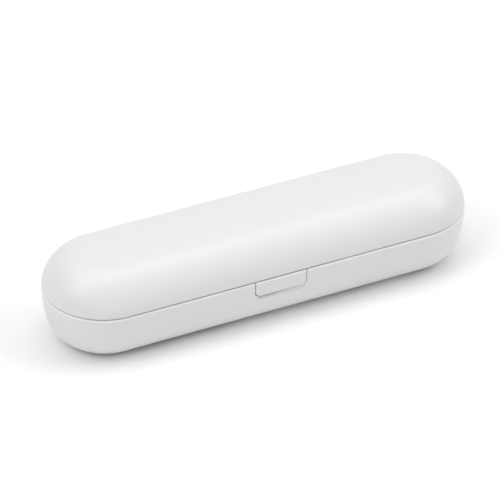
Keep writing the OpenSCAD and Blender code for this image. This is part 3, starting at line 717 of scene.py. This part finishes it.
# The places of the fan's feet along the front, and its rim in plainRim's terms. The feet are
# spread evenly and the heads follow the notch, with two stations where the lip starts. Towards
# the bottom the soft edge becomes a scoop, by the fourth power of the way down.
def notchRim():
    f, fan = notchForm, notchForm["fan"]
    half = notchHalf()
    head = np.concatenate([half, half[:-1][::-1] * [-1, 1, -1, 1]])
    length = np.append(0, np.cumsum(np.hypot(*np.diff(head[:, :2], axis=0).T)))
    footX = -fan + 2 * fan * length / length[-1]
    head[:, 0] += f["middleX"] * (1 - (head[:, 0] / fan) ** 4)
    lipEdge = f["lipStart"]
    order = int(np.argmax(head[:, 0] >= -lipEdge))
    head[order, 0], head[-1 - order, 0] = -lipEdge, lipEdge
    repeat = np.ones(len(head), int)
    repeat[[order, -1 - order]] = 2
    lip = np.repeat(np.abs(head[:, 0]) > lipEdge, repeat).astype(float)
    firsts = np.cumsum(repeat)
    lip[firsts[order] - 2], lip[firsts[-1 - order] - 1] = 1, 1
    head, footX = np.repeat(head, repeat, 0), np.repeat(footX, repeat)
    pullH = head[:, 3]
    drop = np.clip((head[:, 1] - baseRim) / (caseForm["seam"] - f["low"] - baseRim), 0, 1)
    scoop = np.where(pullH > 0, drop ** 4, 0) * np.where(drop > f["scoopStart"], pullH, 0)
    soft = f["sideSoft"] + (f["lowSoft"] - f["sideSoft"]) * scoop
    deep = f["sideSoft"] + (f["lowDeep"] - f["sideSoft"]) * scoop
    return footX, {"footS": frontS(footX), "topS": frontS(head[:, 0]), "topH": head[:, 1],
                   "pullS": head[:, 2], "pullH": pullH, "soft": soft, "deep": deep,
                   "scoop": scoop, "pocket": np.zeros(len(head), bool), "lip": lip}


def baseShell():
    width, wall = caseForm["halfWidth"], caseForm["wall"]
    side, corner, seam = baseForm["side"], baseForm["corner"], caseForm["seam"]
    sideX = width - side
    cornerX = sideX + math.sqrt((side - corner) ** 2 - (seam - corner) ** 2)
    lean = math.degrees(math.asin((seam - corner) / (side - corner)))

    def wallAt(inset):
        return lambda h: sideX + np.sqrt((side - inset) ** 2 - h ** 2)

    # floor and corner arc, with heights from the seam
    def cap(inset, steps):
        r = corner - inset
        curve = arc((cornerX, seam - corner), r, 90, lean, steps)
        floor = np.linspace(0, cornerX, baseForm["floorSteps"] + 1)[:-1]
        return joined((floor, 0 * floor + seam - inset), curve)

    def footAt(inset):
        return seam - corner + (corner - inset) * math.sin(math.radians(lean))

    def rimCorners(outD, hTop, plain, lip):
        inD = wallAt(wall)(hTop)
        lipOut = np.where(plain, baseForm["lipOut"], inD + baseForm["lipOut"] - width + wall)
        lipH = hTop - lip * baseForm["lipHeight"]
        inD = np.where(plain, width - wall, inD)
        return (np.concatenate([outD, lipOut, lipOut, inD, inD], 1),
                np.concatenate([hTop, hTop, lipH, lipH, hTop], 1))

    form = {**baseForm, "capOut": cap(0, baseForm["outSteps"]),
            "capIn": [row[::-1] for row in cap(wall, baseForm["inSteps"])],
            "wallOut": wallAt(0), "wallIn": wallAt(wall), "footOut": footAt(0),
            "footIn": footAt(wall), "rimCorners": rimCorners}

    # the plain rim's stations, between which the fan's are set in
    footX, fanRim = notchRim()
    lipTurn = turn * (0.5 + math.asin(baseForm["lipEndY"] / baseForm["lipOut"]) / math.pi)
    outerX = np.linspace(notchForm["fan"], spineHalf, baseForm["bays"] + 1)
    pockets = pocketEdges(-1)
    backX = np.unique(np.concatenate([footX, outerX, -outerX]))
    besideFan = np.concatenate([outerX[1:], -outerX[1:]])
    changes = np.append(backS(pockets), [straight + lipTurn, 2 * straight + 2 * turn - lipTurn])
    s, probe = stations(np.concatenate([frontS(besideFan), frontS(pockets), backS(backX),
                                        endsS]), changes)
    y = outwardY(probe) * baseForm["lipOut"]
    rim = plainRim(s, probe, -1, baseForm["edge"], (y < baseForm["lipEndY"]).astype(float))
    split = int(np.searchsorted(probe, spineHalf))
    rim = {key: np.concatenate([rim[key][:split], fanRim[key], rim[key][split:]]) for key in rim}
    parts = [shellGrid(form, rim, -1)]
    offset = (hingeForm["length"] - hingeForm["baseKnuckle"]) / 2
    parts += [knuckle(m + end * offset, hingeForm["baseKnuckle"], -1, hingeForm["baseHole"])
              for m in hingeForm["middles"] for end in (-1, 1)]
    parts += screwPosts("tray") + screwPosts("bracket")
    halfPost = baseForm["postHalf"]
    parts += [softBlock((x - halfPost, *baseForm["postLow"]),
                        (x + halfPost, *baseForm["postHigh"]), baseForm["postEdge"])
              for x in baseForm["floorPosts"]]
    return surfacePiece("baseShell", parts, shellWhite, "base", ["base_shell"])


# Box with rounded edges: a ball cut along its three middle planes and drawn apart, so that each
# point is a corner's centre plus the edge radius along its own direction.
def softBlock(low, high, edge):
    low, high, steps = np.array(low, float), np.array(high, float), 3
    quarter = np.radians(np.linspace(0, 90, steps + 1))
    level = np.concatenate([quarter + k * math.pi / 2 for k in range(4)])
    signX = np.repeat([1, -1, -1, 1], steps + 1)
    signY = np.repeat([1, 1, -1, -1], steps + 1)
    rise = np.concatenate([quarter - math.pi / 2, quarter])[:, None]
    signZ = np.repeat([-1, 1], steps + 1)[:, None]
    middle, reach = (low + high) / 2, (high - low) / 2 - edge
    points = np.stack([middle[0] + signX * reach[0] + edge * np.cos(rise) * np.cos(level),
                       middle[1] + signY * reach[1] + edge * np.cos(rise) * np.sin(level),
                       middle[2] + signZ * reach[2] + edge * np.sin(rise) + 0 * level], -1)
    rings, around = points.shape[:2]
    quads = gridQuads(rings, around, closeRings=False, closeSteps=True)
    corner = np.arange(4) * (steps + 1)
    ends = np.array([corner[::-1], (rings - 1) * around + corner])
    return points, np.concatenate([quads, ends])


lid = lidShell()
base = baseShell()
print("shells made:", len(lid.data.polygons), "and", len(base.data.polygons), "faces")


# ---- the latch ----

buttonForm = {"halfWidth": 13.15, "low": 19.0, "corner": 3.2, "topCorner": 0.7, "edge": 0.55,
              "capBack": -27.9, "middle": 24.2, "cornerSteps": 10, "sideSteps": 12,
              "edgeSteps": 6, "faceSteps": 11}
# What stands behind the cap, as boxes with rounded edges: the block that fills the notch, the
# sliding flange and the bar that the catch hooks on, and on each side an arm and a spur that
# holds a spring.
carriageForm = {
    "block": ((-11.9, -28.0, 20.5), (11.9, -26.8, 26.1), 0.2),
    "flange": ((-15.7, -26.925, 20.5), (15.7, -25.725, 26.1), 0.25),
    "bar": ((-6.4, -21.625, 23.7), (6.4, -19.225, 25.7), 0.25),
    "arm": {"x": 7.7, "half": 1.5, "low": (-25.9, 22.3), "high": (-19.225, 25.7), "edge": 0.25},
    "spur": {"y": -25.8, "radius": 1, "length": 1.45, "chamfer": (0.2, 0.25), "sides": 20},
}
springForm = {"x": 13.1, "z": 23.8, "front": -25.625, "back": -17.425, "radius": 1.8,
              "wire": 0.5, "turns": 6, "closeUp": 0.06, "stepsPerTurn": 24, "sides": 12}


# Outline of the button in the front plane, a given distance inside its edge. Each corner is an
# arc about its own centre, whose radius shrinks by that distance.
def buttonOutline(inset):
    f, top = buttonForm, caseForm["seam"] - baseRim
    corners = [(1, f["low"], f["corner"], -90), (1, top, f["topCorner"], 0),
               (-1, top, f["topCorner"], 90), (-1, f["low"], f["corner"], 180)]
    runs = []
    for side, z, radius, start in corners:
        a = np.radians(np.linspace(start, start + 90, f["cornerSteps"] + 1))
        cx = side * (f["halfWidth"] - radius)
        cz = z + radius if z == f["low"] else z - radius
        r = max(radius - inset, 0)
        over = max(inset - radius, 0)
        runs.append(np.stack([cx - side * over + r * np.cos(a), cz + r * np.sin(a)], -1))
    t = np.linspace(0, 1, f["sideSteps"] + 1)[1:-1, None]
    return np.concatenate([part for run, after in zip(runs, runs[1:] + runs[:1])
                           for part in (run, run[-1:] * (1 - t) + after[:1] * t)])


# The cap is the base's own bulged side inside that outline, with its edge rounded back, and
# the carriage stands behind it.
def latchButton():
    f, form, middleX = buttonForm, carriageForm, notchForm["middleX"]
    bulge, seam = baseForm["side"], caseForm["seam"]
    middle = np.array([0, f["middle"]])
    rings = [middle + (buttonOutline(f["edge"]) - middle) * t
             for t in np.linspace(0, 1, f["faceSteps"] + 1)[:-1]]
    a = np.radians(np.linspace(0, 90, f["edgeSteps"] + 1))
    depth = np.append(np.zeros(len(rings)), f["edge"] * (1 - np.cos(a)))
    flat = np.array(rings + [buttonOutline(inset) for inset in f["edge"] * (1 - np.sin(a))])
    out = caseForm["halfWidth"] - bulge + np.sqrt(bulge ** 2 - (seam - flat[..., 1]) ** 2)
    front = np.stack([flat[..., 0] + middleX, depth[:, None] - out, flat[..., 1]], -1)
    backs = np.array([middle + (flat[-1] - middle) * t for t in (1, 0.5, 0)])
    back = np.stack([backs[..., 0] + middleX, 0 * backs[..., 0] + f["capBack"],
                     backs[..., 1]], -1)
    cap = np.concatenate([front, back])
    parts = [(cap, gridQuads(*cap.shape[:2], closeRings=False, closeSteps=True))]
    parts += [softBlock(*form[key]) for key in ("block", "flange", "bar")]
    arm, spur = form["arm"], form["spur"]
    thinBy, shortBy = spur["chamfer"]
    profile = [(0, 0), (spur["radius"], 0), (spur["radius"], spur["length"] - shortBy),
               (spur["radius"] - thinBy, spur["length"]), (0, spur["length"])]
    for side in (-1, 1):
        parts.append(softBlock((side * arm["x"] - arm["half"], *arm["low"]),
                               (side * arm["x"] + arm["half"], *arm["high"]), arm["edge"]))
        upright, quads = turned(0, 0, profile, spur["sides"])
        laid = np.stack([side * springForm["x"] + upright[..., 0], spur["y"] + upright[..., 2],
                         springForm["z"] + upright[..., 1]], -1)
        parts.append((laid, quads))
    return surfacePiece("latchButton", parts, shellWhite, "button", ["latch_button"])


# Spring: a round wire carried along a helix about the line through the spring, whose end turns
# close up. The wire's circle lies across the helix's tangent.
def latchSpring(side):
    f = springForm
    r, wire = f["radius"] - f["wire"] / 2, f["wire"] / 2
    t = np.linspace(0, 1, f["stepsPerTurn"] * f["turns"] + 1)[:, None]
    angle = 2 * math.pi * f["turns"] * t
    span = f["back"] - f["front"]
    closed = t - f["closeUp"] * np.sin(2 * math.pi * t) / math.pi
    along = f["front"] + wire + (span - f["wire"]) * closed
    path = np.hstack([r * np.cos(angle), along, r * np.sin(angle)])
    tangent = np.gradient(path, axis=0)
    tangent /= np.linalg.norm(tangent, axis=1, keepdims=True)
    out = np.hstack([np.cos(angle), 0 * angle, np.sin(angle)])
    cross = np.cross(tangent, out)
    b = np.linspace(0, 2 * math.pi, f["sides"] + 1)[:-1]
    tube = (path[:, None] + wire * (np.cos(b)[:, None] * out[:, None]
                                    + np.sin(b)[:, None] * cross[:, None]))
    ends = [np.repeat(path[i][None, None], len(b), 1) for i in (0, -1)]
    coil = np.concatenate([ends[0], tube, ends[1]]) + [side * f["x"], 0, f["z"]]
    name = "left" if side < 0 else "right"
    parts = [(coil, gridQuads(*coil.shape[:2], closeRings=False, closeSteps=True))]
    piece = surfacePiece("latchSpring" + name.title(), parts, screwSteel, "base",
                         ["latch_spring_" + name])
    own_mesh(piece)


latchButton()
for side in (-1, 1):
    latchSpring(side)
print("latch made")


# ---- the soft rests ----

restForm = {"thick": 1.0, "halfWidth": 6.0, "corner": 2.5, "edge": 0.6, "ribEvery": 2.4,
            "ribDeep": 0.28, "ribMargin": 0.8, "ribFade": 0.6, "channelY": 9.5,
            "channelZ": 23.5, "stepsAlong": 120, "stepsAcross": 40}
# For each kind: the radius of its outer side, its sweep in degrees, 1 where it lies below the
# handle and -1 above, and its body.
restKinds = {"handle_rest": (14.2, 120, 1, "base"), "lid_pad": (14.8, 60, -1, "lid")}


# Ribbed rubber strip round part of the handle's channel: a grid over arc length p and width q,
# whose corners are drawn onto arcs, as thick as a rounded edge allows, less the ribs' grooves.
def softRest(node, radius, sweep, down, body):
    f = restForm
    low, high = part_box(node)
    half, halfWidth, corner = radius * math.radians(sweep) / 2, f["halfWidth"], f["corner"]
    p, q = np.meshgrid(np.linspace(-half, half, f["stepsAlong"] + 1),
                       np.linspace(-halfWidth, halfWidth, f["stepsAcross"] + 1), indexing="ij")
    inset = np.minimum(half - np.abs(p), halfWidth - np.abs(q))
    dp = np.clip(np.abs(p) - half + corner, 0, None)
    dq = np.clip(np.abs(q) - halfWidth + corner, 0, None)
    pull = np.maximum(dp, dq) / np.maximum(np.hypot(dp, dq), almostZero)
    inCorner = (dp > 0) & (dq > 0)
    p = np.where(inCorner, np.sign(p) * (half - corner + dp * pull), p)
    q = np.where(inCorner, np.sign(q) * (halfWidth - corner + dq * pull), q)
    rise = np.sqrt(1 - (1 - np.clip(inset / f["edge"], 0, 1)) ** 2)
    groove = (0.5 + 0.5 * np.cos(2 * math.pi * p / f["ribEvery"])) ** 3
    fade = np.clip((inset - f["ribMargin"]) / f["ribFade"], 0, 1)
    height = f["thick"] * rise - f["ribDeep"] * groove * fade
    middle = (low.x + high.x) / 2 / mm

    def wrapped(h):
        a, r = p / radius, radius - h
        return np.stack([middle + q, f["channelY"] + r * np.sin(a),
                         f["channelZ"] - down * r * np.cos(a)], -1)

    quads = gridQuads(*p.shape, closeRings=False)
    parts = [(wrapped(height), quads), (wrapped(0 * height), quads)]
    name = node.replace("_", " ").title().replace(" ", "")
    return surfacePiece(name[0].lower() + name[1:], parts, restRubber, body, [node])


for end in ("left", "right"):
    for kind, values in restKinds.items():
        softRest(kind + "_" + end, *values)
print("soft rests made")


# ---- the pieces that keep the frame's own shape ----

keptMeshForm = {"mergeDistance": 1e-6, "sharpAngle": 16, "flatAngle": 0.5}
keptForm = {"bevelAngle": 50, "bevelSteps": 2, "faceWeight": 90}
# The nodes of each finish, and how wide their edges are softened, in millimetres.
keptNodes = {
    "liner": (linerGrey, 0.18, ["base_tray", "lid_liner"]),
    "acetal": (acetalWhite, 0.15, ["head_clip_left", "head_clip_right", "latch_bracket",
                                   "latch_catch"]),
    "steel": (screwSteel, 0.08, ["tray_screws", "bracket_screws", "catch_screws",
                                 "liner_screws", "hinge_pin_left", "hinge_pin_right"]),
}


# A copy of the frame's mesh is merged and shaded smooth, and its edges are moulded soft.
def keptPiece(node, material, edge):
    f, source = keptForm, frame["nodes"][node]
    mesh = source.data.copy()
    tidyMesh(mesh, **keptMeshForm)
    piece = placePiece(node + "_finished", mesh, material, source["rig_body"], [node])
    soften = piece.modifiers.new("softEdges", "BEVEL")
    soften.width, soften.segments, soften.limit_method = edge * mm, f["bevelSteps"], "ANGLE"
    soften.angle_limit = math.radians(f["bevelAngle"])
    soften.use_clamp_overlap = True
    flatten = piece.modifiers.new("flatFaces", "WEIGHTED_NORMAL")
    flatten.keep_sharp, flatten.weight = True, f["faceWeight"]


for slotName, (material, edge, nodes) in keptNodes.items():
    for node in nodes:
        keptPiece(node, material, edge)
print("kept pieces finished")


# ---- floor, light and camera ----

stageLook = {"floor": 0.9, "floorSeen": 1.08, "worldLight": 0.32, "floorSize": 6.0,
             "floorZ": -0.00005}


# The second shader for camera, glossy and transmission rays, and the first for all others.
def mixBySight(tree, lighting, seen, target):
    path = addNode(tree, "ShaderNodeLightPath").outputs
    sight = maths(tree, "MAXIMUM", path["Is Camera Ray"], path["Is Glossy Ray"],
                  path["Is Transmission Ray"])
    mix = addNode(tree, "ShaderNodeMixShader")
    for socket, source in zip(mix.inputs, (sight, lighting.outputs[0], seen.outputs[0])):
        tree.links.new(source, socket)
    tree.links.new(mix.outputs[0], target.inputs["Surface"])


floorMaterial = bpy.data.materials.new("paleFloor")
floorMaterial.use_nodes = True
tree = floorMaterial.node_tree
tree.nodes.remove(tree.nodes["Principled BSDF"])
matts = [addNode(tree, "ShaderNodeBsdfDiffuse", {"Color": (level, level, level, 1)})
         for level in (stageLook["floor"], stageLook["floorSeen"])]
mixBySight(tree, *matts, tree.nodes["Material Output"])
half = stageLook["floorSize"] / 2
floorMesh = bpy.data.meshes.new("floor")
corners = [(-half, -half), (half, -half), (half, half), (-half, half)]
floorMesh.from_pydata([(*corner, stageLook["floorZ"]) for corner in corners], [], [(0, 1, 2, 3)])
floorMesh.materials.append(floorMaterial)
floor = bpy.data.objects.new("floor", floorMesh)
bpy.context.scene.collection.objects.link(floor)

world = bpy.data.worlds.new("studio")
bpy.context.scene.world = world
world.use_nodes = True
tree = world.node_tree
light = tree.nodes["Background"]
light.inputs["Strength"].default_value = stageLook["worldLight"]
light.inputs["Color"].default_value = (1, 1, 1, 1)
white = addNode(tree, "ShaderNodeBackground", {"Color": (1, 1, 1, 1), "Strength": 1.0})
mixBySight(tree, light, white, tree.nodes["World Output"])

# soft boxes: where each stands, where it points, its width and depth in metres, its power in watts
softBoxes = {
    "overhead": ((0, 0.25, 1.5), (0, 0, 0), (2.2, 1.0), 12.0),
    "left": ((-1.25, -0.2, 1.2), (0, 0, 0.02), (1, 1), 6.2),
    "right": ((1.2, -0.5, 1.2), (0, 0, 0.02), (1, 1), 7.3),
    "frontLow": ((-0.7, -1.9, 0.3), (0, 0, 0.02), (1.4, 0.6), 3.2),
}
for name, (place, aim, size, power) in softBoxes.items():
    lamp = bpy.data.lights.new(name, "AREA")
    lamp.shape, lamp.energy = "RECTANGLE", power
    lamp.size, lamp.size_y = size
    box = bpy.data.objects.new(name, lamp)
    box.location = place
    box.rotation_euler = (Vector(aim) - Vector(place)).to_track_quat("-Z", "Y").to_euler()
    bpy.context.scene.collection.objects.link(box)

# camera: angles and distance worked out from the outline in the photograph
cameraForm = {"azimuth": -24.9155, "elevation": 35.4534, "distance": 2.09069, "lens": 316.95,
              "sensor": 36, "shiftX": -0.01101, "shiftY": -0.01700, "clip": (0.05, 50)}
a, e = math.radians(cameraForm["azimuth"]), math.radians(cameraForm["elevation"])
backward = Vector((math.sin(a) * math.cos(e), -math.cos(a) * math.cos(e), math.sin(e)))
camera = bpy.data.objects.new("camera", bpy.data.cameras.new("camera"))
camera.data.sensor_width, camera.data.lens = cameraForm["sensor"], cameraForm["lens"]
camera.data.shift_x, camera.data.shift_y = cameraForm["shiftX"], cameraForm["shiftY"]
camera.data.clip_start, camera.data.clip_end = cameraForm["clip"]
camera.location = Vector((0, 0, caseForm["seam"] * mm)) + backward * cameraForm["distance"]
camera.rotation_euler = (-backward).to_track_quat("-Z", "Y").to_euler()
bpy.context.scene.collection.objects.link(camera)
bpy.context.scene.camera = camera
bpy.context.scene.view_settings.view_transform = "Standard"
print("stage, lamps and camera set")
